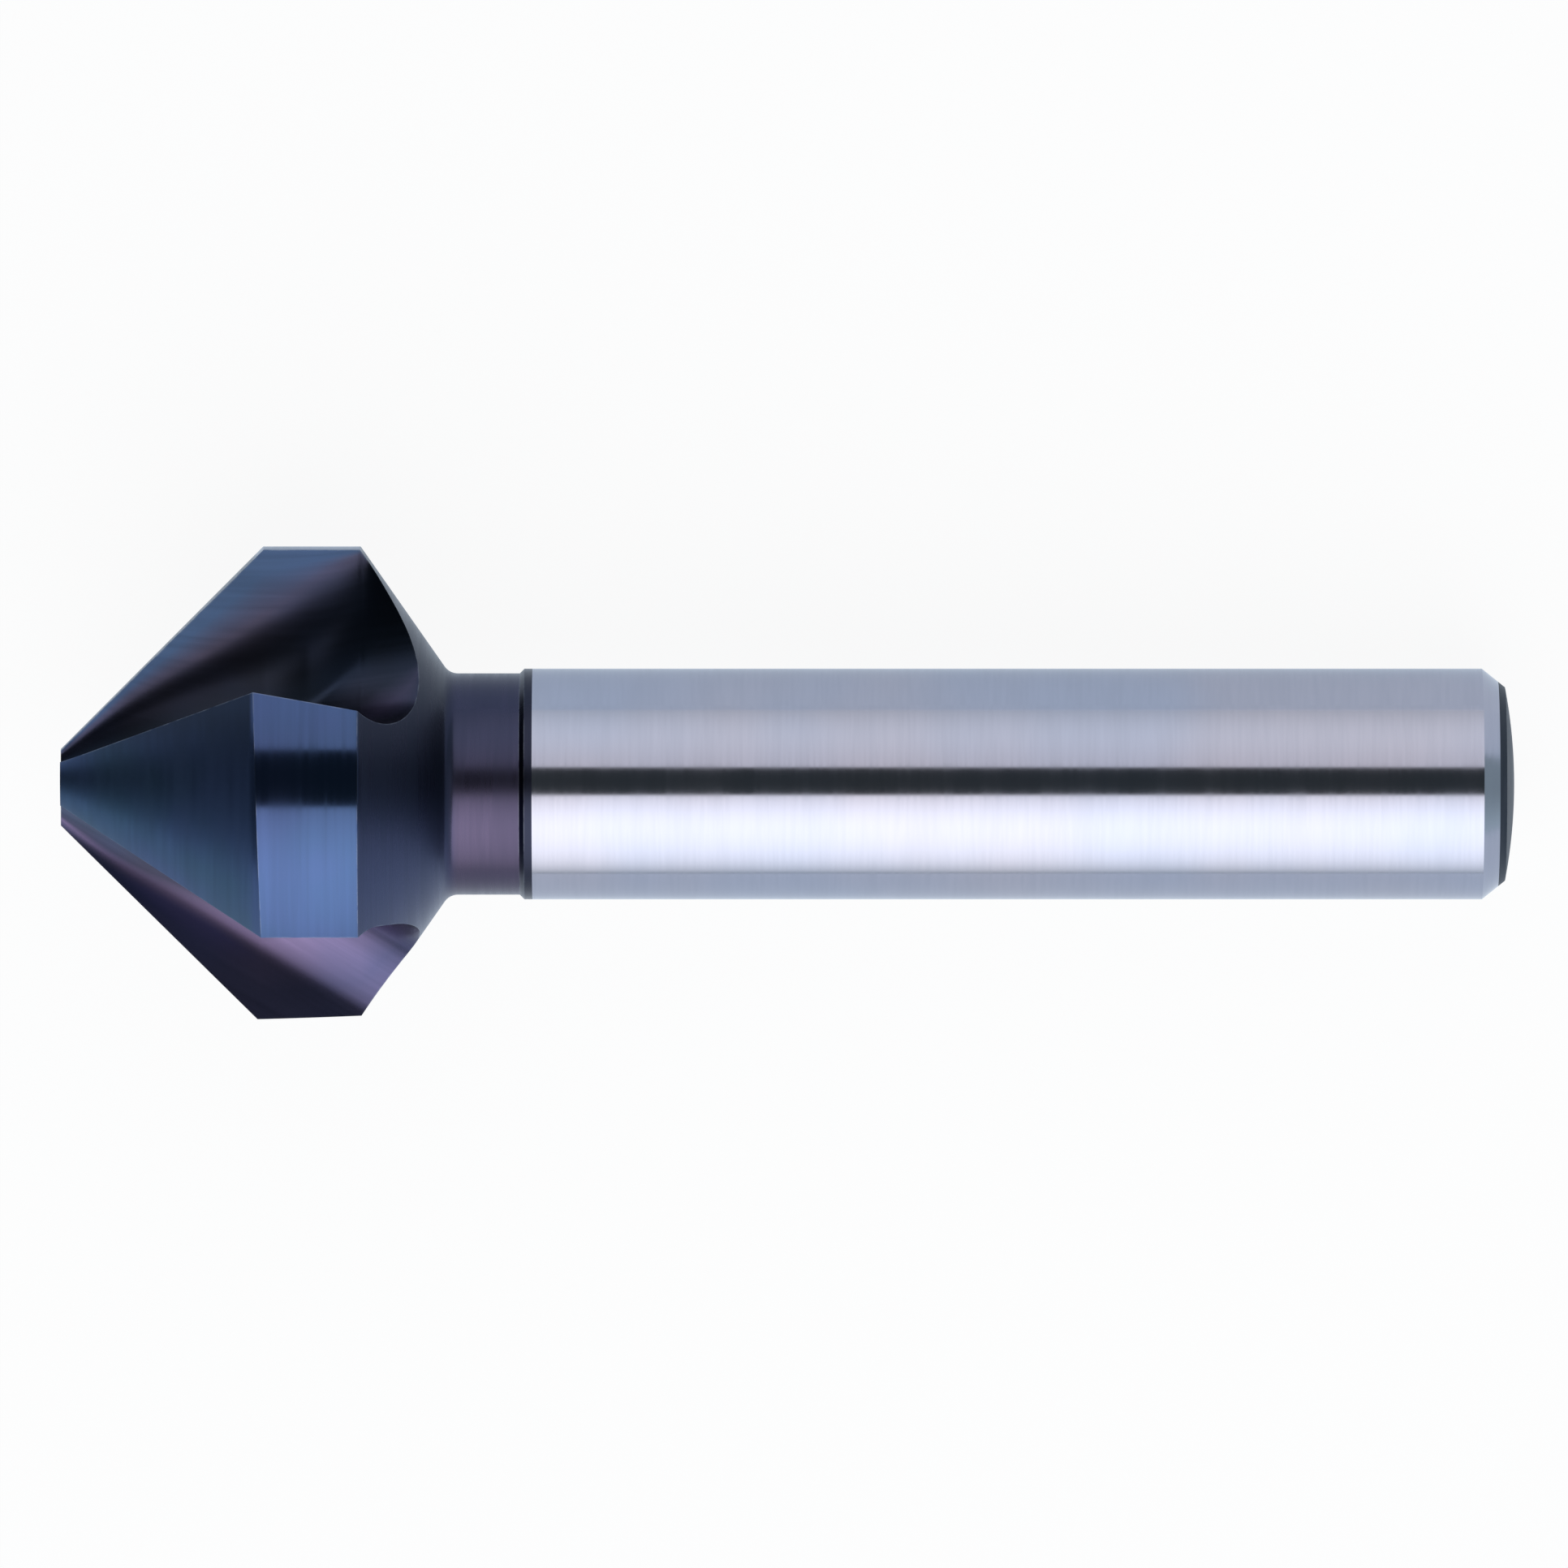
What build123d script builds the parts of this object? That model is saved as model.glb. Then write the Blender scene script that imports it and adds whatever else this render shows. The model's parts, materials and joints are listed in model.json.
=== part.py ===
"""Three-flute countersink bit, 90 degrees, in one piece from nose to shank.

The bit lies on a flat surface, as it comes to rest. One gullet faces straight down, so the head stands on a
corner of each land beside it, and the plain shank touches down where the chamfer at its end begins.
"""

import os
from math import acos, atan2, cos, degrees, hypot, radians, sin, tan

from build123d import *

# Head: flat nose, 90 degree cone, cylindrical lands and the cone behind them
head_diameter = 20.6
nose_diameter = 3.6
cone_angle = 90.0
land_length = 4.5
back_cone_angle = 110.0

# Neck and shank
neck_diameter = 9.6
neck_end = 19.9
neck_blend = 0.7
shank_diameter = 10.0
overall_length = 63.0
end_chamfer_length = 1.0
end_chamfer_depth = 0.8
end_dome_height = 0.4

# Teeth: angles are about the axis, counted the way the bit cuts
tooth_count = 3
tooth_angle = 62.5
rake_hook = 9.0
rake_lean = 10.5
relief_drop = 0.32
relief_lead = 60.0
relief_margin = 15.0

# Gullets: one straight pass of a wheel that dips towards the nose. Its flat side grinds the rake face, and
# its round edge grinds the trough.
gullet_radius = 7.5
gullet_blend = 4.0
gullet_station = 8.0
gullet_height = 11.1
gullet_lead = 26.5
gullet_swing = -8.5

head_radius = head_diameter / 2
nose_radius = nose_diameter / 2
neck_radius = neck_diameter / 2
shank_radius = shank_diameter / 2
cone_slope = tan(radians(cone_angle / 2))
cone_end = (head_radius - nose_radius) / cone_slope
land_end = cone_end + land_length
back_cone_end = land_end + (head_radius - neck_radius) / tan(radians(back_cone_angle / 2))
shank_start = neck_end + shank_radius - neck_radius
chamfer_end = overall_length - end_dome_height
chamfer_start = chamfer_end - end_chamfer_length
dome_edge = shank_radius - end_chamfer_depth
dome_radius = (dome_edge**2 + end_dome_height**2) / (2 * end_dome_height)
pitch_angle = 360 / tooth_count
gullet_angle = pitch_angle - tooth_angle

# How the bit lies: astride the gullet that faces down, on the front corner of one land's cutting edge and the
# rear corner of the other land's heel, with the shank down where its chamfer starts. The angle of the heel's
# corner from straight down follows from how far each corner is ahead of the shank's.
reach = (chamfer_start - cone_end) / (chamfer_start - land_end)
stance_x = head_radius * (cos(radians(gullet_angle)) - reach)
stance_y = head_radius * sin(radians(gullet_angle))
stance_lag = acos(shank_radius * (1 - reach) / hypot(stance_x, stance_y))
heel_stance = degrees(atan2(stance_y, stance_x) - stance_lag)
first_edge = 180 + heel_stance - gullet_angle
head_drop = head_radius * cos(radians(heel_stance))
lie_angle = atan2(head_drop - shank_radius, chamfer_start - land_end)
nose_height = head_drop * cos(lie_angle) + land_end * sin(lie_angle)
tool = Plane(
    origin=(-overall_length / 2 * cos(lie_angle), 0, nose_height),
    x_dir=(cos(lie_angle), 0, -sin(lie_angle)),
    z_dir=(sin(lie_angle), 0, cos(lie_angle)),
)
axle = Axis(tool.origin, tool.x_dir)


def around(angle):
    """Direction square to the axis of the bit, at an angle from its upper side, counted the way it cuts."""
    return tool.y_dir * sin(radians(angle)) + tool.z_dir * cos(radians(angle))


def spot(station, radius, angle):
    """Point at a station along the bit, at a radius and an angle."""
    return tool.origin + tool.x_dir * station + around(angle) * radius


def lengthwise(origin, angle):
    """Plane through the axis of the bit or beside it, with x along the bit and y towards an angle."""
    return Plane(origin=origin, x_dir=tool.x_dir, z_dir=tool.x_dir.cross(around(angle)))


# Gullet of the first tooth: the wheel's profile, carried along a path that lies in the rake face and is swung
# off the cutting edge's radius, as far as the heel flank
rake_normal = around(first_edge + rake_hook + 90) * cos(radians(rake_lean))
rake_normal += tool.x_dir * sin(radians(rake_lean))
path_slope = tan(radians(rake_lean)) / sin(radians(rake_hook - gullet_swing))
path = (tool.x_dir + around(first_edge + gullet_swing) * path_slope).normalized()
wheel_centre = spot(gullet_station, gullet_height, first_edge + gullet_lead)
rake_depth = (wheel_centre - spot(cone_end, head_radius, first_edge)).dot(rake_normal)
heel_flank = Plane(origin=tool.origin, z_dir=around(first_edge + gullet_angle - 90))
with BuildPart() as gullet:
    with BuildSketch(Plane(origin=wheel_centre, x_dir=path.cross(rake_normal), z_dir=-path)) as wheel:
        Circle(gullet_radius)
        Rectangle(head_diameter, 2 * gullet_radius, align=(Align.MIN, Align.CENTER))
        with Locations((0, -rake_depth)):
            Rectangle(2 * head_diameter, head_diameter, align=(Align.CENTER, Align.MAX), mode=Mode.SUBTRACT)
        fillet(wheel.vertices().sort_by(Axis.X)[0], radius=gullet_blend)
    extrude(amount=overall_length / 3, both=True)
    split(bisect_by=heel_flank, keep=Keep.TOP)

# Relief of the first tooth: its cone is ground about a centre set off ahead of the cutting edge, so that it
# falls away from the edge to the heel
relief_span = cos(radians(relief_lead)) - cos(radians(relief_lead + tooth_angle))
relief_offset = relief_drop / relief_span
relief_tip = (relief_offset * cos(radians(relief_lead)) - nose_radius) / cone_slope
relief_centre = spot(0, relief_offset, first_edge + relief_lead)
with BuildPart() as relief:
    with BuildSketch(lengthwise(relief_centre, first_edge + relief_margin)):
        with BuildLine():
            Polyline(
                (relief_tip, 0),
                (land_end, (land_end - relief_tip) * cone_slope),
                (relief_tip, head_diameter),
                close=True,
            )
        make_face()
    revolve(axis=Axis(relief_centre, tool.x_dir), revolution_arc=tooth_angle + 2 * relief_margin)

# Turned blank, with the gullets and the relief ground into it
with BuildPart() as countersink_bit:
    with BuildSketch(lengthwise(tool.origin, 0)):
        with BuildLine():
            Polyline(
                (0, 0),
                (0, nose_radius),
                (cone_end, head_radius),
                (land_end, head_radius),
                (back_cone_end, neck_radius),
                (neck_end, neck_radius),
                (shank_start, shank_radius),
                (chamfer_start, shank_radius),
                (chamfer_end, dome_edge),
            )
            RadiusArc((chamfer_end, dome_edge), (overall_length, 0), dome_radius)
            Line((overall_length, 0), (0, 0))
        make_face()
    revolve(axis=axle)
    rings = countersink_bit.edges().filter_by(GeomType.CIRCLE)
    fillet(rings.sort_by_distance(spot(back_cone_end, 0, 0))[0], radius=neck_blend)
    for tooth in range(tooth_count):
        add(gullet.part.rotate(axle, -tooth * pitch_angle), mode=Mode.SUBTRACT)
        add(relief.part.rotate(axle, -tooth * pitch_angle), mode=Mode.SUBTRACT)

countersink_bit.part.label = "countersink_bit"
os.makedirs("parts", exist_ok=True)
export_step(countersink_bit.part, "parts/countersink_bit.step")
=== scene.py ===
"""Countersink bit lying on a pale floor: its dressed surface, finishes, lights and camera."""
import json
import bmesh
import bpy
import numpy as np
from mathutils import Matrix, Vector


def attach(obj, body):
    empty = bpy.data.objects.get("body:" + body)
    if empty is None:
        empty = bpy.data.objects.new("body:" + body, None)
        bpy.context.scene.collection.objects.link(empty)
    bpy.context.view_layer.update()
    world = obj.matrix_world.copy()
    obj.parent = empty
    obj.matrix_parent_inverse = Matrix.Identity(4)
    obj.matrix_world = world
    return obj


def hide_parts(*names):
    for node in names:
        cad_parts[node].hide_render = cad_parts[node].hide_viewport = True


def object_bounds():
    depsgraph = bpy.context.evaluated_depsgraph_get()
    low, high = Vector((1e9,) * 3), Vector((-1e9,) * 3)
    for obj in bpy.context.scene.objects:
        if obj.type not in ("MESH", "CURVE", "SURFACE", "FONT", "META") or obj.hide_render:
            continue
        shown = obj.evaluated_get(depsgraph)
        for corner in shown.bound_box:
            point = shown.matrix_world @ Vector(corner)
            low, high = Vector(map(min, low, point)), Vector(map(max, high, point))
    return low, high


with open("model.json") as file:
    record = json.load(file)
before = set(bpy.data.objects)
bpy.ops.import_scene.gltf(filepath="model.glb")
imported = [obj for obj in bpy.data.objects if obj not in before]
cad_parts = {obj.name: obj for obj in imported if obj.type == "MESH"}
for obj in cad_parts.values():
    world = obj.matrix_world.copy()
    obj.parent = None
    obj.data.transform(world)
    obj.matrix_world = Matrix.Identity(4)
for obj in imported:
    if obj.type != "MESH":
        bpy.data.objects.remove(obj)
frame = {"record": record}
cad_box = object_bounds()

MM = 0.001
IMAGE_SIZE = 1932

# Sizes of the bit in millimetres, and its angles in degrees about the axis, counted the way it cuts.
# Stations are distances from the nose along the axis.
HEAD_RADIUS = 10.3
NOSE_RADIUS = 1.8
CONE_END = 8.5
CONE_SLOPE = 1.0
LAND_END = 13.0
BACK_CONE_HALF_ANGLE = 55.0
NECK_RADIUS = 4.8
NECK_BLEND = 0.7
NECK_END = 19.9
SHANK_RADIUS = 5.0
CHAMFER_START = 61.6
CHAMFER_END = 62.6
DOME_EDGE = 4.2
OVERALL_LENGTH = 63.0
TEETH = 3
TOOTH_ANGLE = 62.5
GULLET_ANGLE = 360 / TEETH - TOOTH_ANGLE
FIRST_EDGE = 153.31
RAKE_HOOK = 9.0
RAKE_LEAN = 10.5
RELIEF_DROP = 0.32
RELIEF_LEAD = 60.0

# The grinding wheel that cuts the gullets, and the rounding of the crease between trough and heel flank
WHEEL_RADIUS = 7.5
WHEEL_BLEND = 4.0
WHEEL_STATION = 8.0
WHEEL_HEIGHT = 11.1
WHEEL_LEAD = 26.5
WHEEL_SWING = -8.5
CREASE_RISE = 4.2
CREASE_RISE_SHARE = 0.9
CREASE_RUN = 2.8
CREASE_RUN_SHARE = 0.6
CREASE_PULL = 0.6
CREASE_LEAVE = 11.5
CREASE_FADE = 2.9

# Grids of the surfaces: rings along the bit and columns round it
CONE_RINGS, LAND_RINGS, BACK_RINGS = 61, 25, 41
REAR_RINGS, BLEND_RINGS, NECK_RINGS, SHANK_RINGS, CHAMFER_RINGS, DOME_RINGS = 8, 9, 12, 79, 11, 25
TOOTH_COLUMNS, GULLET_COLUMNS = 73, 81
WELD = 0.004
SHARP_ANGLE = 16.0

# Shares of a gullet's ring at which its trough and its curve end, and steps for finding where curves cross
TROUGH_SHARE = 0.6
CURVE_SHARE = 0.9
SEARCH_SHARE = 1.2
PROFILE_STEPS = 6000
RING_STEPS = 4000
TANGENT_STEP = 0.02

# Material slots of the bit's mesh, and the stations at which the bright shank begins and ends
OUTER, HOLLOW, BRIGHT, END = 0, 1, 2, 3
COATING_END = 20.45
# Past this station the shank's end is painted dark, as shade in place of the dark reflection it shows
DARK_END_START = 62.3

# Stations between which one tint of the coating gives way to the next
LAND_BEGINS = CONE_END - 0.2, CONE_END + 0.1
BACK_CONE_BEGINS = LAND_END - 0.1, LAND_END + 0.1
DULL_BEGINS = LAND_END - 0.1, LAND_END + 0.3
NECK_BEGINS = 16.5, 17.3
STRIP_BEGINS = NECK_END - 0.05, NECK_END + 0.1
# Painted shade: stations over which the gullet darkens towards the run-out
RUNOUT_SHADE_BEGINS = 12.4, 14.4

# Distances to the side, seen from the camera, over which a tint changes: painted light and shade, one side
# of a part lighter or darker as light falls on it
CONE_PAINTED_SHADE_SIDE = -1.0, 3.0
BACK_CONE_PAINTED_LIGHT_SIDE = 2.0, -5.5
NECK_PAINTED_LIGHT_SIDE = 2.5, -2.5
RUNOUT_PAINTED_SHADE_SIDE = 2.6, 4.4

# Tints of the finishes, as linear colours; a pair holds the two ends of a slow change
CONE_TINTS = (0.050, 0.100, 0.165), (0.062, 0.098, 0.210)
# Painted shade: the cone's tint towards the top of the view
FAR_CONE_PAINTED_SHADE = (0.020, 0.030, 0.056)
LAND_TINTS = (0.052, 0.094, 0.190), (0.060, 0.092, 0.205)
# Painted light and shade: back cone and neck tints on the upper side of the view, then on the lower, lit
# side
BACK_CONE_SHADE_AND_LIGHT_TINTS = (0.022, 0.025, 0.045), (0.044, 0.058, 0.130)
NECK_SHADE_AND_LIGHT_TINTS = (0.048, 0.050, 0.090), (0.082, 0.066, 0.112)
STRIP_TINT = (0.028, 0.030, 0.050)
# Tints across a gullet by share from the cutting edge: violet and blue coating, with painted shade deep in
# the hollow from share 0.42 to 0.89
GULLET_TINTS_AND_SHADE = (
    (0.10, (0.084, 0.078, 0.150)), (0.28, (0.150, 0.114, 0.205)), (0.42, (0.046, 0.044, 0.070)),
    (0.60, (0.034, 0.040, 0.060)), (0.79, (0.036, 0.040, 0.058)), (0.89, (0.056, 0.050, 0.078)),
    (0.96, (0.042, 0.070, 0.130)))
GULLET_CLOUD_TINT = (0.05, 0.08, 0.18)
# Painted shade laid over the gullet near the run-out
RUNOUT_SHADE_TINT = (0.024, 0.030, 0.044)
LINE_TINT = (0.02, 0.03, 0.05)
# Lighter edges: partly coating rubbed bare, partly a painted highlight where edges catch light
RUB_AND_HIGHLIGHT_TINT = (0.30, 0.33, 0.38)
STEEL_TINTS = (0.395, 0.415, 0.505), (0.435, 0.425, 0.49)
STEEL_LINE_TINT = (0.27, 0.29, 0.35)
# Painted shade: dark tints of the shank's end, in place of the dark reflection it shows
END_PAINTED_DARK_TINTS = (0.022, 0.030, 0.045), (0.034, 0.043, 0.060)
# Lighter edges of the end: partly rubbed, partly a painted highlight
END_RUB_AND_HIGHLIGHT_TINT = (0.15, 0.17, 0.20)

# How the bit lies: its axis falls from the nose to the shank's end, and the middle of it stands at x = 0.
# "across" is level, and "upward" is square to the axis and to "across".
shank = next(mount for mount in frame["record"]["mounts"] if mount["name"] == "shank")
along = Vector(shank["axis"]).normalized()
across = Vector((0, 1, 0))
upward = along.cross(across)
nose_x = -OVERALL_LENGTH / 2 * MM * along.x
nose = Vector(shank["pos_m"]) + along * (nose_x - shank["pos_m"][0]) / along.x

# The view: a camera turned about the axis so that one cutting edge shows above it
EDGE_IN_VIEW = 22.5
PIXELS_PER_MM = 28.42
NOSE_PIXEL = 75.0
CAMERA_DISTANCE = 1.2
view_roll = np.radians(FIRST_EDGE - 360 / TEETH - EDGE_IN_VIEW)
toward_camera = upward * np.cos(view_roll) + across * np.sin(view_roll)
image_up = across * np.cos(view_roll) - upward * np.sin(view_roll)

# Lamps stand off the axis at one station; the floor glows to the camera and to metal by these shares
LAMP_DISTANCE = 0.6
LAMP_STATION = 31.0
FLOOR_HALF = 1.5
FLOOR_GREY = 0.93
FLOOR_TO_CAMERA = 0.92
FLOOR_TO_METAL = 0.66
WHITE = (1.0, 1.0, 1.0)
SKY = (0.74, 0.93, 1.0)
SKY_ON_FLOOR = (0.74, 0.86, 1.0)


def axis_spot(station):
    """Point on the bit's axis at a station in millimetres."""
    return nose + along * station * MM


# ---------------------------------------------------------------- surfaces of the bit

def around(degrees):
    """Directions square to the axis, as complex numbers: real is the first cutting edge's side."""
    return np.exp(1j * np.radians(degrees))


def blank_radius(station):
    """Radius of the turned blank: cone, land and back cone, whichever is least."""
    cone = NOSE_RADIUS + station * CONE_SLOPE
    back = HEAD_RADIUS - (station - LAND_END) * np.tan(np.radians(BACK_CONE_HALF_ANGLE))
    return np.minimum(np.minimum(cone, HEAD_RADIUS), back)


# The relieved cone's centre is off the axis just far enough for the heel to fall RELIEF_DROP short
RELIEF_OFFSET = RELIEF_DROP / (around(RELIEF_LEAD) - around(RELIEF_LEAD + TOOTH_ANGLE)).real
RELIEF_CENTRE = RELIEF_OFFSET * around(RELIEF_LEAD)


def tooth_radius(station, angle):
    """Radius of a tooth: the blank, cut by the cone whose centre is set off ahead of the cutting edge."""
    ground = NOSE_RADIUS + station * CONE_SLOPE - RELIEF_CENTRE.real
    turned = RELIEF_CENTRE * np.conj(around(angle))
    relieved = turned.real + np.sqrt(np.maximum(ground**2 - turned.imag**2, 0))
    return np.minimum(blank_radius(station), relieved)


def cone_length(angle):
    """Station at which a tooth's relieved cone meets its land."""
    ground = np.abs(HEAD_RADIUS * around(angle) - RELIEF_CENTRE)
    return (ground + RELIEF_CENTRE.real - NOSE_RADIUS) / CONE_SLOPE


def in_space(station, place):
    """Three numbers for a station and a complex place square to the axis: along, across, up."""
    return np.stack([station + 0 * place.real, place.imag, place.real], axis=-1)


def wheel_sweep():
    """Wheel profile as points and their running length, and the direction in which it is carried.

    The profile is the rake face's line, the blend arc tangent to it, the round edge tangent to the blend,
    and the line of the wheel's far side. The direction lies in the rake face.
    """
    lean = np.radians(RAKE_LEAN)
    rake = in_space(np.sin(lean), np.cos(lean) * around(RAKE_HOOK + 90))
    slope = np.tan(lean) / np.sin(np.radians(RAKE_HOOK - WHEEL_SWING))
    path = in_space(np.array(1.0), slope * around(WHEEL_SWING))
    path = path / np.linalg.norm(path)
    outward = np.cross(path, rake)
    centre = in_space(np.array(WHEEL_STATION), WHEEL_HEIGHT * around(WHEEL_LEAD))
    edge = in_space(np.array(CONE_END), HEAD_RADIUS * around(0))
    depth = (centre - edge) @ rake
    foot = -np.sqrt((WHEEL_RADIUS - WHEEL_BLEND)**2 - (depth - WHEEL_BLEND)**2)
    touch = np.arctan2(WHEEL_BLEND - depth, foot)
    blend = np.linspace(-np.pi / 2, touch, 200)
    round_edge = np.linspace(touch, -1.5 * np.pi, 900)
    reach, count = 20.0, 900
    x = np.concatenate([
        np.linspace(reach, foot, count), foot + WHEEL_BLEND * np.cos(blend),
        WHEEL_RADIUS * np.cos(round_edge), np.linspace(0, reach, count)])
    y = np.concatenate([
        np.full(count, -depth), WHEEL_BLEND - depth + WHEEL_BLEND * np.sin(blend),
        WHEEL_RADIUS * np.sin(round_edge), np.full(count, WHEEL_RADIUS)])
    length = np.concatenate([[0], np.cumsum(np.hypot(np.diff(x), np.diff(y)))])
    return centre + x[:, None] * outward + y[:, None] * rake, length, path


PROFILE, PROFILE_LENGTH, WHEEL_PATH = wheel_sweep()


def trough(station, length):
    """Place on the trough: the profile's point at a running length, carried along the path to a station."""
    x, side, up = (np.interp(length, PROFILE_LENGTH, PROFILE[:, axis]) for axis in range(3))
    carried = (station - x) / WHEEL_PATH[0]
    return up + carried * WHEEL_PATH[2] + 1j * (side + carried * WHEEL_PATH[1])


def crossing(values, steps, start):
    """First step past the start, row by row, at which values turn from negative to positive."""
    turns = (values[:, :-1] < 0) & (values[:, 1:] >= 0) & (steps[None, :-1] >= start[:, None])
    first = np.argmax(turns, axis=1)
    rows = np.arange(len(first))
    low = values[rows, first]
    high = values[rows, first + 1]
    found = steps[first] + (steps[1] - steps[0]) * low / (low - high)
    return np.where(turns.any(axis=1), found, np.inf)


def trough_limits(station):
    """Running lengths at which the trough enters the bit and at which it reaches the heel flank's plane."""
    steps = np.linspace(0, PROFILE_LENGTH[-1], PROFILE_STEPS)
    place = trough(station[:, None], steps[None, :])
    proud = np.abs(place) - blank_radius(station)[:, None]
    beyond = -(place * np.conj(around(GULLET_ANGLE - 90))).real
    enter = crossing(-proud, steps, np.zeros(len(station)))
    return enter, crossing(beyond, steps, enter)


def runout_station():
    """Station at which the trough leaves the back cone: the last one where it still enters.

    Each of five passes looks at 60 stations between the last two of the pass before.
    """
    low, high = LAND_END + 1, LAND_END + 4
    for _ in range(5):
        stations = np.linspace(low, high, 60)
        enters = np.isfinite(trough_limits(stations)[0])
        last = np.flatnonzero(enters)[-1]
        low, high = stations[last], stations[min(last + 1, 59)]
    return low


def soft_least(first, second):
    """Lesser of two lengths, rounded where they change over: their product over the fourth root of the sum
    of their fourth powers.
    """
    return first * second / (first**4 + second**4)**0.25


def gullet_rings(edge_station, heel_station):
    """Rings of the gullet from cutting edge to heel: stations, places, running lengths and shares.

    Each ring follows the wheel's profile from where it enters the bit, leaves it for a cubic curve tangent
    to trough and flank, and goes straight up the flank to the heel's rim. The flank lies in a plane through
    the axis. The curve takes up at most CREASE_RUN of the trough and CREASE_RISE of the flank, and less
    where they are short: the shares CREASE_RUN_SHARE and CREASE_RISE_SHARE of them.

    Past the station CREASE_LEAVE, curve and flank keep the form of a ring further forward and are carried
    along with the trough. The flank is put back on its plane. Their distance from the trough fades out in
    the latter half of CREASE_FADE, and each ring ends where it meets the blank. The last ring is one point.
    """
    enter = trough_limits(edge_station)[0][:, None]
    ease = np.clip((heel_station - CREASE_LEAVE) / CREASE_FADE, 0, 1)
    front = np.minimum(heel_station, CREASE_LEAVE) + CREASE_FADE * (ease - ease**2 / 2)
    fade = 0.5 + 0.5 * np.cos(np.pi * np.maximum(2 * ease - 1, 0))[:, None]
    front_enter, heel = (limit[:, None] for limit in trough_limits(front))
    edge_station, heel_station, front = edge_station[:, None], heel_station[:, None], front[:, None]

    outward = around(GULLET_ANGLE)
    corner = trough(front, heel)
    rim = tooth_radius(front, -TOOTH_ANGLE) * outward
    rise = soft_least(CREASE_RISE, CREASE_RISE_SHARE * np.abs(rim - corner))
    run = soft_least(CREASE_RUN, CREASE_RUN_SHARE * (heel - front_enter))
    start = trough(front, heel - run)
    just_before = trough(front, heel - run - TANGENT_STEP)
    straight = np.exp(1j * np.angle(start - just_before))
    end = corner + rise * outward
    bends = (start, start + CREASE_PULL * run * straight, end - CREASE_PULL * rise * outward, end)

    sideways = around(GULLET_ANGLE + 90)
    path = complex(WHEEL_PATH[2], WHEEL_PATH[1]) / WHEEL_PATH[0]
    return_to_plane = (front - heel_station) * (path * np.conj(sideways)).real * sideways

    def ring(share):
        """Stations, places and running lengths at shares of the way along trough, curve and flank."""
        part = np.minimum(share / TROUGH_SHARE, 1)
        station = edge_station + part * (heel_station - edge_station)
        length = enter + part * (heel - run - enter)
        part = np.clip((share - TROUGH_SHARE) / (CURVE_SHARE - TROUGH_SHARE), 0, 1)
        length = length + part * (run + rise)
        weights = ((1 - part)**3, 3 * part * (1 - part)**2, 3 * part**2 * (1 - part), part**3)
        curve = sum(weight * bend for weight, bend in zip(weights, bends))
        curve = curve + part**2 * (3 - 2 * part) * return_to_plane
        part = np.maximum((share - CURVE_SHARE) / (1 - CURVE_SHARE), 0)
        length = length + part * np.abs(rim - end)
        away = curve + part * (rim - end) - trough(front, length)
        place = trough(station, length) + np.where(share > TROUGH_SHARE, fade * away, 0)
        return station, place, length

    steps = np.linspace(0, SEARCH_SHARE, RING_STEPS)
    proud = np.abs(ring(steps[None, :])[1]) - blank_radius(heel_station)
    cut = np.where(ease > 0, crossing(proud, steps, np.zeros(len(ease))), 1)
    cut[-1] = 0
    share = cut[:, None] * np.linspace(0, 1, GULLET_COLUMNS)[None, :]
    return *ring(share), share


def head_patches():
    """Tooth and gullet of one tooth, as grids from the nose to the run-out, and the run-out's station.

    Each ring runs at one share of the way along cone, land and back cone, closer together towards the
    run-out. Across a ring, the tooth's angle goes evenly from heel to cutting edge at the tooth's radius,
    and the gullet goes on from the cutting edge to the next tooth's heel. With the places go grinding
    coordinates u and v in mm, and the share of the way across, which is 0 at the cutting edge and 1 at the
    heel's rim on both grids.
    """
    cone = np.linspace(0, 1, CONE_RINGS)[:, None]
    land = np.linspace(0, 1, LAND_RINGS)[1:, None]
    back = 1 - np.linspace(1, 0, BACK_RINGS)[1:, None]**2
    runout = runout_station()

    def stations(angle):
        """Stations of all rings where they pass an angle of the tooth."""
        front = cone_length(angle)[None, :]
        rings = (cone * front, front + land * (LAND_END - front), LAND_END + back * (runout - LAND_END))
        return np.concatenate([ring + 0 * front for ring in rings])

    edge_station = stations(np.zeros(1))[:, 0]
    heel_station = stations(np.full(1, -TOOTH_ANGLE))[:, 0]
    station, gullet, length, share = gullet_rings(edge_station, heel_station)
    along_path = (station - WHEEL_STATION) / WHEEL_PATH[0]
    gullet_patch = {"station": station, "place": gullet, "u": along_path, "v": length, "across": share}

    heel_place = gullet[:, -1] * around(-360 / TEETH)
    heel_angle = np.degrees(np.angle(heel_place))
    edge_angle = np.degrees(np.angle(gullet[:, 0]))
    share = np.linspace(0, 1, TOOTH_COLUMNS)[None, :]
    angle = heel_angle[:, None] + share * (edge_angle - heel_angle)[:, None]
    station = stations(-TOOTH_ANGLE * (1 - share[0]))
    place = tooth_radius(station, angle) * around(angle)
    place[:, 0] = heel_place
    place[:, -1] = gullet[:, 0]
    slant = station + np.maximum(station - LAND_END, 0)
    tooth = {"station": station, "place": place, "u": np.radians(angle) * HEAD_RADIUS, "v": slant}
    tooth["across"] = 1 - share[0]
    return tooth, gullet_patch, runout


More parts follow.
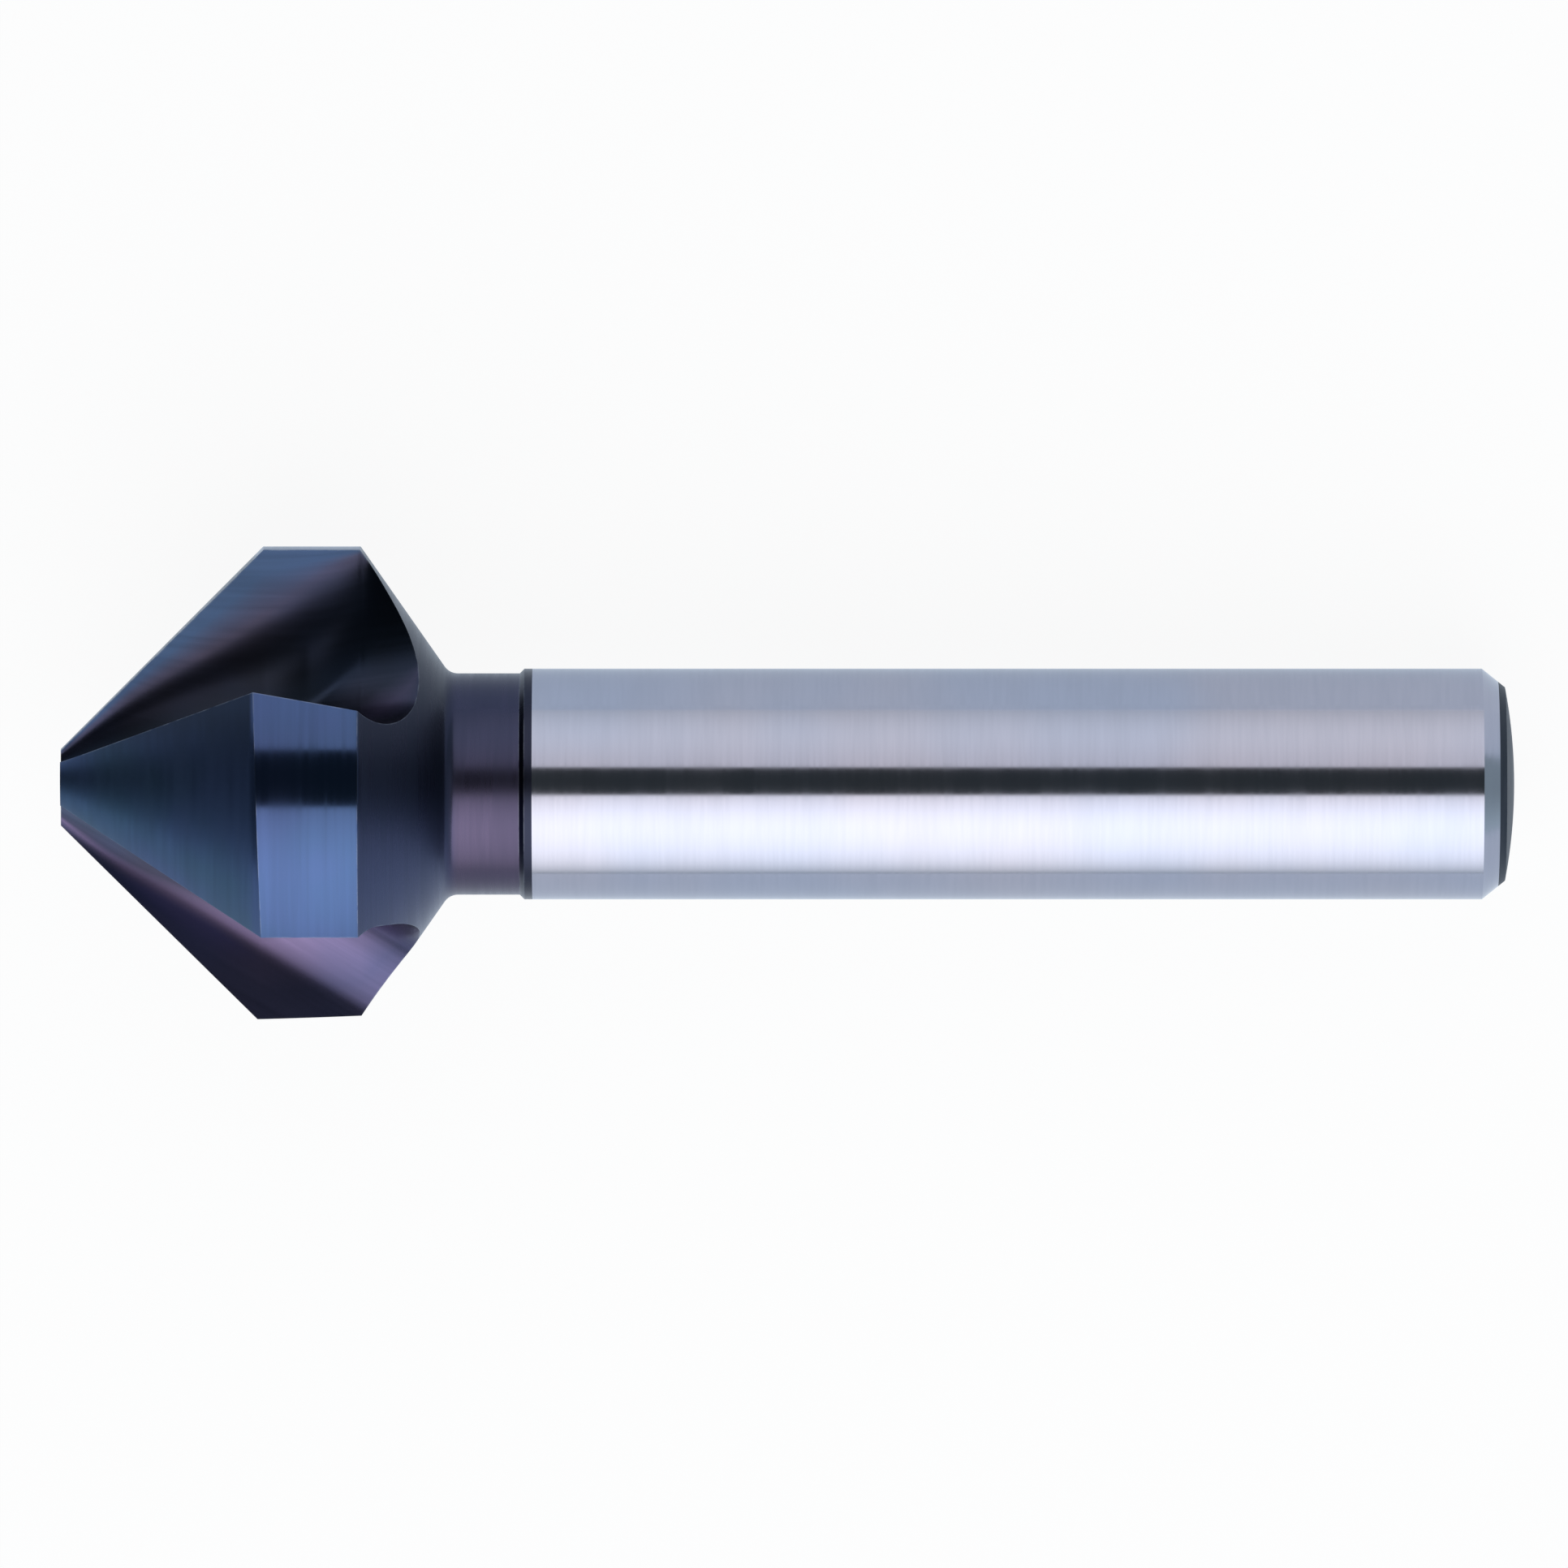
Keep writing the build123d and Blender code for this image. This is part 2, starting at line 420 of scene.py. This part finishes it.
def body_profile(runout):
    """Stations and radii of the profile that is turned about the axis, from the run-out to the shank's end.

    Back cone, an arc of NECK_BLEND tangent to cone and neck, neck, a short cone up to the shank, shank,
    chamfer, and a shallow dome that is part of a circle.
    """
    slope = np.radians(BACK_CONE_HALF_ANGLE)
    neck_start = LAND_END + (HEAD_RADIUS - NECK_RADIUS) / np.tan(slope)
    tangent = NECK_BLEND * np.tan(slope / 2)
    turn = np.linspace(slope, 0, BLEND_RINGS)
    blend_x = neck_start + tangent - NECK_BLEND * np.sin(turn)
    blend_r = NECK_RADIUS + NECK_BLEND * (1 - np.cos(turn))
    dome_rise = OVERALL_LENGTH - CHAMFER_END
    dome_radius = (DOME_EDGE**2 + dome_rise**2) / (2 * dome_rise)
    lift = np.linspace(np.arcsin(DOME_EDGE / dome_radius), 0, DOME_RINGS)
    dome_x = OVERALL_LENGTH - dome_radius * (1 - np.cos(lift))
    dome_r = dome_radius * np.sin(lift)
    shank_start = NECK_END + SHANK_RADIUS - NECK_RADIUS
    back_x = np.linspace(runout, blend_x[0], REAR_RINGS)[:-1]
    neck_x = np.linspace(blend_x[-1], NECK_END, NECK_RINGS)[1:]
    shank_x = np.concatenate([[shank_start], np.linspace(COATING_END, CHAMFER_START, SHANK_RINGS)])
    chamfer_x = np.linspace(CHAMFER_START, CHAMFER_END, CHAMFER_RINGS)[1:]
    chamfer_r = np.linspace(SHANK_RADIUS, DOME_EDGE, CHAMFER_RINGS)[1:]
    x = np.concatenate([back_x, blend_x, neck_x, shank_x, chamfer_x, dome_x[1:]])
    neck_r = np.full(len(neck_x), NECK_RADIUS)
    shank_r = np.full(len(shank_x), SHANK_RADIUS)
    r = np.concatenate([blank_radius(back_x), blend_r, neck_r, shank_r, chamfer_r, dome_r[1:]])
    return x, r


def surface_grids():
    """Grids of stations, places, u, v, shares across and finish: tooth and gullet in turn, then the body.

    Teeth and gullets are the first tooth's grids turned by thirds of a circle. The body is its profile
    turned about the axis, with its columns in line with those of the teeth at the run-out.
    """
    tooth, gullet, runout = head_patches()
    grids = []
    for count in range(TEETH):
        turn = around(-count * 360 / TEETH)
        for finish, patch in ((OUTER, tooth), (HOLLOW, gullet)):
            place = patch["place"] * turn
            grids.append((patch["station"], place, patch["u"], patch["v"], patch["across"], finish))
    x, r = body_profile(runout)
    start = np.degrees(np.angle(tooth["place"][-1, 0]))
    angle = start + np.linspace(0, 360, (TOOTH_COLUMNS - 1) * TEETH + 1)
    station = x[:, None] + 0 * angle[None, :]
    place = r[:, None] * around(angle)[None, :]
    run = np.concatenate([[0], np.cumsum(np.hypot(np.diff(x), np.diff(r)))]) + runout
    grids.append((station, place, np.radians(angle) * HEAD_RADIUS, run[:, None], 0 * angle, OUTER))
    return grids


def nose_ring(grids):
    """Indices of the first ring of each head grid, in order round the axis and closed on the first."""
    sizes = [station.size for station, *_ in grids]
    starts = np.cumsum([0] + sizes)
    rings = [starts[index] + np.arange(grids[index][0].shape[1]) for index in range(2 * TEETH)]
    order = [rings[2 * tooth + side] for tooth in reversed(range(TEETH)) for side in (0, 1)]
    return np.concatenate(order + [order[0][:1]])


def add_bit():
    """One closed mesh: three teeth with their gullets, the turned body and the nose's flat face.

    The nose's face is a fan from the axis to the first ring of every grid. Shared edges are welded. Faces
    past COATING_END are bright, and those past DARK_END_START dark.
    """
    grids = surface_grids()
    verts, shares, quads, uvs, finishes, base = [], [], [], [], [], 0
    for station, place, u, v, share, finish in grids:
        rows, columns = station.shape
        verts.append(np.stack([station, place.real, place.imag], axis=-1).reshape(-1, 3))
        shares.append((share + 0 * station).ravel())
        index = np.arange(rows * columns).reshape(rows, columns)
        corners = np.stack([index[:-1, :-1], index[:-1, 1:], index[1:, 1:], index[1:, :-1]], axis=-1)
        corners = corners.reshape(-1, 4)
        flat = np.stack([u + 0 * station, v + 0 * station], axis=-1).reshape(-1, 2)
        uvs.append(flat[corners].reshape(-1, 2))
        quads.append(corners + base)
        middle = station.ravel()[corners].mean(axis=1)
        finishes.append(np.select([middle > DARK_END_START, middle > COATING_END], [END, BRIGHT], finish))
        base += rows * columns

    ring = nose_ring(grids)
    fan = np.stack([ring[:-1], ring[1:], np.full(len(ring) - 1, base)], axis=-1)
    local = np.concatenate(verts + [np.zeros((1, 3))])
    quads = np.concatenate(quads)
    fan_uv = local[fan, 1:].reshape(-1, 2)
    turned = in_space(local[:, 0], (local[:, 1] + 1j * local[:, 2]) * around(FIRST_EDGE))
    world = turned @ np.array([along, across, upward]) * MM
    mesh = bpy.data.meshes.new("dressed_bit")
    mesh.from_pydata(world + np.array(nose), [], quads.tolist() + fan.tolist())
    layer = mesh.uv_layers.new(name="grinding")
    layer.data.foreach_set("uv", np.concatenate(uvs + [fan_uv]).ravel())
    hollow = mesh.attributes.new(name="hollow", type="FLOAT", domain="POINT")
    hollow.data.foreach_set("value", np.concatenate(shares + [np.zeros(1)]))
    finishes = np.concatenate(finishes + [np.full(len(fan), OUTER)])
    mesh.polygons.foreach_set("material_index", finishes.astype(np.int32))

    shape = bmesh.new()
    shape.from_mesh(mesh)
    bmesh.ops.remove_doubles(shape, verts=shape.verts, dist=WELD * MM)
    bmesh.ops.dissolve_degenerate(shape, edges=shape.edges, dist=WELD / 2 * MM)
    bmesh.ops.recalc_face_normals(shape, faces=shape.faces)
    shape.to_mesh(mesh)
    shape.free()
    mesh.shade_smooth()
    mesh.set_sharp_from_angle(angle=np.radians(SHARP_ANGLE))
    bit = bpy.data.objects.new("dressed_bit", mesh)
    bpy.context.collection.objects.link(bit)
    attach(bit, "root")
    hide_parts("countersink_bit")
    return bit


# ---------------------------------------------------------------- node helpers

def calculate(tree, operation, *values):
    """Maths node; each value may be a socket or a number."""
    node = tree.nodes.new("ShaderNodeMath")
    node.operation = operation
    for socket, value in zip(node.inputs, values):
        if isinstance(value, bpy.types.NodeSocket):
            tree.links.new(value, socket)
        else:
            socket.default_value = value
    return node.outputs[0]


def blend_colours(tree, share, first, second):
    """Mix of two colours by a share. A share or colour may be a socket or a plain value.

    Inputs 0, 6 and 7 of the node are its factor and its two colours, and output 2 is a colour.
    """
    node = tree.nodes.new("ShaderNodeMix")
    node.data_type = "RGBA"
    for socket, value in zip((node.inputs[0], node.inputs[6], node.inputs[7]), (share, first, second)):
        if isinstance(value, bpy.types.NodeSocket):
            tree.links.new(value, socket)
        elif isinstance(value, tuple):
            socket.default_value = (*value, 1)
        else:
            socket.default_value = value
    return node.outputs[2]


def stepped(tree, value, low, high):
    """Smooth rise of a value from 0 at low to 1 at high."""
    node = tree.nodes.new("ShaderNodeMapRange")
    node.interpolation_type = "SMOOTHSTEP"
    tree.links.new(value, node.inputs["Value"])
    node.inputs["From Min"].default_value = low
    node.inputs["From Max"].default_value = high
    return node.outputs["Result"]


# ---------------------------------------------------------------- camera, lights and floor

def add_camera():
    """Long lens whose frame spans the image's pixels at the axis of the bit."""
    data = bpy.data.cameras.new("camera")
    data.sensor_width = 36.0
    width = IMAGE_SIZE / PIXELS_PER_MM * MM
    data.lens = data.sensor_width * CAMERA_DISTANCE / width
    data.clip_end = 10.0
    camera = bpy.data.objects.new("camera", data)
    target = axis_spot((IMAGE_SIZE / 2 - NOSE_PIXEL) / PIXELS_PER_MM)
    place = Matrix((along, image_up, toward_camera)).transposed().to_4x4()
    place.translation = target + toward_camera * CAMERA_DISTANCE
    camera.matrix_world = place
    bpy.context.collection.objects.link(camera)
    bpy.context.scene.camera = camera


def add_softbox(name, angle, span, length, colour, low, high, hump):
    """Area lamp facing the bit, at an angle about its axis from the camera and spanning an angle there.

    Its radiance across its width is low + (high - low) * t + hump * 4 * t * (1 - t), with t going from 0
    on the side of lesser angle to 1.
    """
    data = bpy.data.lights.new(name, "AREA")
    data.shape = "RECTANGLE"
    data.size = length
    data.size_y = 2 * LAMP_DISTANCE * np.tan(np.radians(span / 2))
    data.energy = np.pi * data.size * data.size_y
    data.color = colour
    data.use_nodes = True
    tree = data.node_tree
    shape = tree.nodes.new("ShaderNodeNewGeometry")
    split = tree.nodes.new("ShaderNodeSeparateXYZ")
    tree.links.new(shape.outputs["Parametric"], split.inputs[0])
    rest = calculate(tree, "SUBTRACT", 1.0, split.outputs["Y"])
    slope = calculate(tree, "MULTIPLY_ADD", split.outputs["Y"], high - low, low)
    arch = calculate(tree, "MULTIPLY", split.outputs["Y"], rest)
    strength = calculate(tree, "MULTIPLY_ADD", arch, 4 * hump, slope)
    tree.links.new(strength, tree.nodes["Emission"].inputs["Strength"])
    lamp = bpy.data.objects.new(name, data)
    turn = np.radians(angle)
    direction = toward_camera * np.cos(turn) + image_up * np.sin(turn)
    up = image_up * np.cos(turn) - toward_camera * np.sin(turn)
    place = Matrix((along, up, direction)).transposed().to_4x4()
    place.translation = axis_spot(LAMP_STATION) + direction * LAMP_DISTANCE
    lamp.matrix_world = place
    bpy.context.collection.objects.link(lamp)


def add_world(colour, even, windows):
    """Dim even world light with soft windows, each given as its direction, its light and the two cosines
    between which it fades in.
    """
    world = bpy.data.worlds.new("world")
    world.use_nodes = True
    tree = world.node_tree
    background = tree.nodes["Background"]
    background.inputs["Color"].default_value = (*colour, 1)
    way = tree.nodes.new("ShaderNodeTexCoord").outputs["Generated"]
    strength = even
    for direction, light, low, high in windows:
        facing = tree.nodes.new("ShaderNodeVectorMath")
        facing.operation = "DOT_PRODUCT"
        tree.links.new(way, facing.inputs[0])
        facing.inputs[1].default_value = direction
        window = stepped(tree, facing.outputs["Value"], low, high)
        strength = calculate(tree, "MULTIPLY_ADD", window, light, strength)
    tree.links.new(strength, background.inputs["Strength"])
    bpy.context.scene.world = world


def floor_material():
    """Matt white floor that also glows, white to the camera and bluish to metal, and keeps a shadow."""
    material = bpy.data.materials.new("floor")
    material.use_nodes = True
    tree = material.node_tree
    tree.nodes.clear()
    matt = tree.nodes.new("ShaderNodeBsdfDiffuse")
    matt.inputs["Color"].default_value = (FLOOR_GREY, FLOOR_GREY, FLOOR_GREY, 1)
    glow = tree.nodes.new("ShaderNodeEmission")
    path = tree.nodes.new("ShaderNodeLightPath")
    colour = blend_colours(tree, path.outputs["Is Camera Ray"], SKY_ON_FLOOR, WHITE)
    tree.links.new(colour, glow.inputs["Color"])
    seen = calculate(tree, "MULTIPLY", path.outputs["Is Camera Ray"], FLOOR_TO_CAMERA)
    mirrored = calculate(
        tree, "MAXIMUM", path.outputs["Is Glossy Ray"], path.outputs["Is Transmission Ray"])
    mirrored = calculate(tree, "MULTIPLY", mirrored, FLOOR_TO_METAL)
    mix = tree.nodes.new("ShaderNodeMixShader")
    tree.links.new(calculate(tree, "MAXIMUM", seen, mirrored), mix.inputs[0])
    tree.links.new(matt.outputs[0], mix.inputs[1])
    tree.links.new(glow.outputs[0], mix.inputs[2])
    output = tree.nodes.new("ShaderNodeOutputMaterial")
    tree.links.new(mix.outputs[0], output.inputs["Surface"])
    return material


def add_floor():
    """Flat floor under the bit's lowest point."""
    mesh = bpy.data.meshes.new("floor")
    corners = FLOOR_HALF * np.array([[-1, -1], [1, -1], [1, 1], [-1, 1]])
    z = cad_box[0][2]
    mesh.from_pydata([(x, y, z) for x, y in corners], [], [(0, 1, 2, 3)])
    floor = bpy.data.objects.new("floor", mesh)
    mesh.materials.append(floor_material())
    bpy.context.collection.objects.link(floor)


# ---------------------------------------------------------------- finishes

def new_group(name, inputs, outputs):
    """Empty shader group with named sockets: (name, kind, value) for inputs, (name, kind) for outputs."""
    group = bpy.data.node_groups.new(name, "ShaderNodeTree")
    for title, kind, value in inputs:
        socket = group.interface.new_socket(title, in_out="INPUT", socket_type="NodeSocket" + kind)
        socket.default_value = value
    for title, kind in outputs:
        group.interface.new_socket(title, in_out="OUTPUT", socket_type="NodeSocket" + kind)
    given, result = group.nodes.new("NodeGroupInput"), group.nodes.new("NodeGroupOutput")
    return group, given.outputs, result.inputs


def noise(tree, vector, scale, stretch=(1, 1, 1), detail=3.0):
    """Noise at a scale, with its vector stretched first."""
    mapping = tree.nodes.new("ShaderNodeMapping")
    mapping.inputs["Scale"].default_value = stretch
    tree.links.new(vector, mapping.inputs["Vector"])
    node = tree.nodes.new("ShaderNodeTexNoise")
    node.inputs["Detail"].default_value = detail
    if isinstance(scale, bpy.types.NodeSocket):
        tree.links.new(scale, node.inputs["Scale"])
    else:
        node.inputs["Scale"].default_value = scale
    tree.links.new(mapping.outputs[0], node.inputs["Vector"])
    return node.outputs["Fac"]


def grinding_lines():
    """Fine lines that run with the grinding: noise drawn out along u and close together across v, in mm."""
    group, given, result = new_group(
        "grinding_lines", [("Vector", "Vector", (0, 0, 0)), ("Lines per mm", "Float", 3.0)],
        [("Lines", "Float"), ("Height", "Float")])
    fine = noise(group, given["Vector"], given["Lines per mm"], (0.03, 1, 1), 4.0)
    coarse = noise(group, given["Vector"], 0.7, (0.1, 1, 1), 2.0)
    both = calculate(group, "MULTIPLY_ADD", coarse, 0.5, calculate(group, "MULTIPLY", fine, 0.5))
    group.links.new(stepped(group, both, 0.35, 0.65), result["Lines"])
    group.links.new(fine, result["Height"])
    return group


def coating_clouds():
    """Slow change of tint over the surface: cloudy noise in the bit's own coordinates, from 0 to 1."""
    group, given, result = new_group(
        "coating_clouds", [("Vector", "Vector", (0, 0, 0)), ("Clouds per metre", "Float", 160.0)],
        [("Clouds", "Float")])
    clouds = noise(group, given["Vector"], given["Clouds per metre"], (1, 1, 1), 2.5)
    group.links.new(stepped(group, clouds, 0.32, 0.68), result["Clouds"])
    return group


def edge_rub_and_highlight():
    """Mask of edges that are lighter, partly rubbed bare and partly a painted highlight where edges catch
    light: where a rounded normal leaves the true one, broken up by fine noise.
    """
    group, given, result = new_group(
        "edge_rub_and_highlight",
        [("Vector", "Vector", (0, 0, 0)), ("Width", "Float", 0.08 * MM), ("Amount", "Float", 0.5)],
        [("Rub and highlight", "Float")])
    bevel = group.nodes.new("ShaderNodeBevel")
    bevel.samples = 4
    group.links.new(given["Width"], bevel.inputs["Radius"])
    shape = group.nodes.new("ShaderNodeNewGeometry")
    dot = group.nodes.new("ShaderNodeVectorMath")
    dot.operation = "DOT_PRODUCT"
    group.links.new(bevel.outputs[0], dot.inputs[0])
    group.links.new(shape.outputs["Normal"], dot.inputs[1])
    turned = stepped(group, calculate(group, "SUBTRACT", 1.0, dot.outputs["Value"]), 0.005, 0.06)
    grain = stepped(group, noise(group, given["Vector"], 1500.0), 0.3, 0.6)
    worn_and_lit = calculate(group, "MULTIPLY", turned, grain)
    group.links.new(calculate(group, "MULTIPLY", worn_and_lit, given["Amount"]), result["Rub and highlight"])
    return group


def placed(tree, group, **values):
    """Node that uses a shared group, with values or links by socket name (underscores stand for spaces)."""
    node = tree.nodes.new("ShaderNodeGroup")
    node.node_tree = group
    for name, value in values.items():
        socket = node.inputs[name.replace("_", " ")]
        if isinstance(value, bpy.types.NodeSocket):
            tree.links.new(value, socket)
        else:
            socket.default_value = value
    return node.outputs


def from_nose(tree, place, direction):
    """Distance in mm of a place from the nose along a direction."""
    dot = tree.nodes.new("ShaderNodeVectorMath")
    dot.operation = "DOT_PRODUCT"
    tree.links.new(place, dot.inputs[0])
    dot.inputs[1].default_value = direction / MM
    return calculate(tree, "SUBTRACT", dot.outputs["Value"], nose.dot(direction) / MM)


def start_finish(name):
    """Metal material with its tree, shader, object coordinates and grinding coordinates."""
    material = bpy.data.materials.new(name)
    material.use_nodes = True
    tree = material.node_tree
    shader = tree.nodes["Principled BSDF"]
    shader.inputs["Metallic"].default_value = 1.0
    place = tree.nodes.new("ShaderNodeTexCoord").outputs["Object"]
    ground = tree.nodes.new("ShaderNodeUVMap")
    ground.uv_map = "grinding"
    return material, tree, shader, place, ground.outputs["UV"]


def ridge(tree, shader, height, distance):
    """Bump from a height, with its depth in metres."""
    bump = tree.nodes.new("ShaderNodeBump")
    bump.inputs["Strength"].default_value = 1.0
    bump.inputs["Distance"].default_value = distance
    tree.links.new(height, bump.inputs["Height"])
    tree.links.new(bump.outputs[0], shader.inputs["Normal"])


def gullet_tints_and_shade(tree):
    """Tint of the coating across a gullet: violet by the cutting edge, painted shade deep down in the
    hollow, blue at the heel.
    """
    share = tree.nodes.new("ShaderNodeAttribute")
    share.attribute_name = "hollow"
    ramp = tree.nodes.new("ShaderNodeValToRGB")
    for place, _ in GULLET_TINTS_AND_SHADE[:-2]:
        ramp.color_ramp.elements.new(place)
    for element, (place, tint) in zip(ramp.color_ramp.elements, GULLET_TINTS_AND_SHADE):
        element.position = place
        element.color = (*tint, 1)
    tree.links.new(share.outputs["Fac"], ramp.inputs["Fac"])
    return ramp.outputs["Color"]


def outer_tints(tree, station, side, clouds):
    """Tint of the coating outside the gullets, which changes along the bit, and from side to side as
    painted light and shade: the cone darker towards the top of the view, the back cone and neck lighter
    towards the bottom.
    """
    cone = blend_colours(tree, clouds, *CONE_TINTS)
    # Painted shade: the cone darkens towards the top of the view
    cone = blend_colours(tree, stepped(tree, side, *CONE_PAINTED_SHADE_SIDE), cone, FAR_CONE_PAINTED_SHADE)
    land = blend_colours(tree, clouds, *LAND_TINTS)
    # Painted light: back cone and neck lighter towards the bottom of the view
    behind = blend_colours(tree, stepped(tree, side, *BACK_CONE_PAINTED_LIGHT_SIDE), *BACK_CONE_SHADE_AND_LIGHT_TINTS)
    neck = blend_colours(tree, stepped(tree, side, *NECK_PAINTED_LIGHT_SIDE), *NECK_SHADE_AND_LIGHT_TINTS)
    colour = blend_colours(tree, stepped(tree, station, *LAND_BEGINS), cone, land)
    colour = blend_colours(tree, stepped(tree, station, *BACK_CONE_BEGINS), colour, behind)
    colour = blend_colours(tree, stepped(tree, station, *NECK_BEGINS), colour, neck)
    return blend_colours(tree, stepped(tree, station, *STRIP_BEGINS), colour, STRIP_TINT)


def coated_finish(name, hollow):
    """Hard coating: blue on cone and land, greyer behind them, violet in the gullets and on the neck.
    Painted light and shade from side to side, painted shade deep in the gullets and towards the run-out,
    and edges lighter as wear and painted highlight.
    """
    material, tree, shader, place, ground = start_finish(name)
    station, side = from_nose(tree, place, along), from_nose(tree, place, image_up)
    lines = placed(tree, GRINDING, Vector=ground, Lines_per_mm=4.0)
    clouds = placed(tree, CLOUDS, Vector=place)["Clouds"]
    rub_and_highlight = placed(tree, RUB_AND_HIGHLIGHT, Vector=place, Amount=0.35)["Rub and highlight"]
    if hollow:
        share = calculate(tree, "MULTIPLY", clouds, 0.25)
        colour = blend_colours(tree, share, gullet_tints_and_shade(tree), GULLET_CLOUD_TINT)
        # Painted shade: the gullet darkens towards the run-out on the upper side of the view
        behind, shaded_side = stepped(tree, station, *RUNOUT_SHADE_BEGINS), stepped(tree, side, *RUNOUT_PAINTED_SHADE_SIDE)
        share = calculate(tree, "MULTIPLY", calculate(tree, "MULTIPLY", behind, shaded_side), 0.7)
        colour = blend_colours(tree, share, colour, RUNOUT_SHADE_TINT)
        rough = 0.22
    else:
        colour = outer_tints(tree, station, side, clouds)
        rough = calculate(tree, "MULTIPLY_ADD", stepped(tree, station, *LAND_BEGINS), -0.09, 0.20)
        rough = calculate(tree, "MULTIPLY_ADD", stepped(tree, station, *DULL_BEGINS), 0.15, rough)
    colour = blend_colours(tree, calculate(tree, "MULTIPLY", lines["Lines"], 0.16), colour, LINE_TINT)
    # Edges lighter: rubbed bare, and a painted highlight
    tree.links.new(blend_colours(tree, rub_and_highlight, colour, RUB_AND_HIGHLIGHT_TINT), shader.inputs["Base Color"])
    rough = calculate(tree, "MULTIPLY_ADD", lines["Lines"], 0.05, rough)
    tree.links.new(rough, shader.inputs["Roughness"])
    ridge(tree, shader, lines["Height"], 0.0005 * MM)
    return material


def bright_finish():
    """Ground steel of the shank."""
    material, tree, shader, place, ground = start_finish("bright_steel")
    lines = placed(tree, GRINDING, Vector=ground, Lines_per_mm=5.0)
    clouds = placed(tree, CLOUDS, Vector=place, Clouds_per_metre=90.0)["Clouds"]
    share = calculate(tree, "MULTIPLY", lines["Lines"], 0.14)
    steel = blend_colours(tree, share, blend_colours(tree, clouds, *STEEL_TINTS), STEEL_LINE_TINT)
    tree.links.new(steel, shader.inputs["Base Color"])
    rough = calculate(tree, "MULTIPLY_ADD", lines["Lines"], 0.04, 0.11)
    tree.links.new(rough, shader.inputs["Roughness"])
    ridge(tree, shader, lines["Height"], 0.0004 * MM)
    return material


def end_finish():
    """Turned end of the shank: dark colour and weak gloss painted on as shade, standing in for the dark
    surroundings that it reflects.
    """
    material, tree, shader, place, ground = start_finish("painted_dark_end")
    lines = placed(tree, GRINDING, Vector=ground, Lines_per_mm=6.0)
    rub_and_highlight = placed(tree, RUB_AND_HIGHLIGHT, Vector=place, Amount=0.2)["Rub and highlight"]
    # Painted shade: dark colour, low metallic and low specular in place of the end's dark reflection
    dark = blend_colours(tree, lines["Lines"], *END_PAINTED_DARK_TINTS)
    # Edges of the end lighter: rubbed, and a painted highlight
    tree.links.new(blend_colours(tree, rub_and_highlight, dark, END_RUB_AND_HIGHLIGHT_TINT), shader.inputs["Base Color"])
    shader.inputs["Metallic"].default_value = 0.3
    shader.inputs["Specular IOR Level"].default_value = 0.2
    rough = calculate(tree, "MULTIPLY_ADD", lines["Lines"], 0.08, 0.42)
    tree.links.new(rough, shader.inputs["Roughness"])
    ridge(tree, shader, lines["Height"], 0.0008 * MM)
    return material


add_camera()
add_floor()
windows = ((-across, 0.36, 0.0, 0.6), (along, 0.42, 0.25, 0.8), (across, 0.25, 0.5, 0.95))
add_world(SKY, 0.052, windows)
add_softbox("near_softbox", -55.5, 89, 0.75, (1.0, 0.985, 1.0), low=0.45, high=1.40, hump=0.95)
add_softbox("far_softbox", 48, 63, 0.5, (0.98, 0.96, 1.0), low=1.02, high=0.6, hump=0.12)
GRINDING, CLOUDS, RUB_AND_HIGHLIGHT = grinding_lines(), coating_clouds(), edge_rub_and_highlight()
bit = add_bit()
bit.data.materials.append(coated_finish("coated_steel", False))
bit.data.materials.append(coated_finish("coated_gullet", True))
bit.data.materials.append(bright_finish())
bit.data.materials.append(end_finish())

bpy.context.scene.view_settings.view_transform = "Standard"
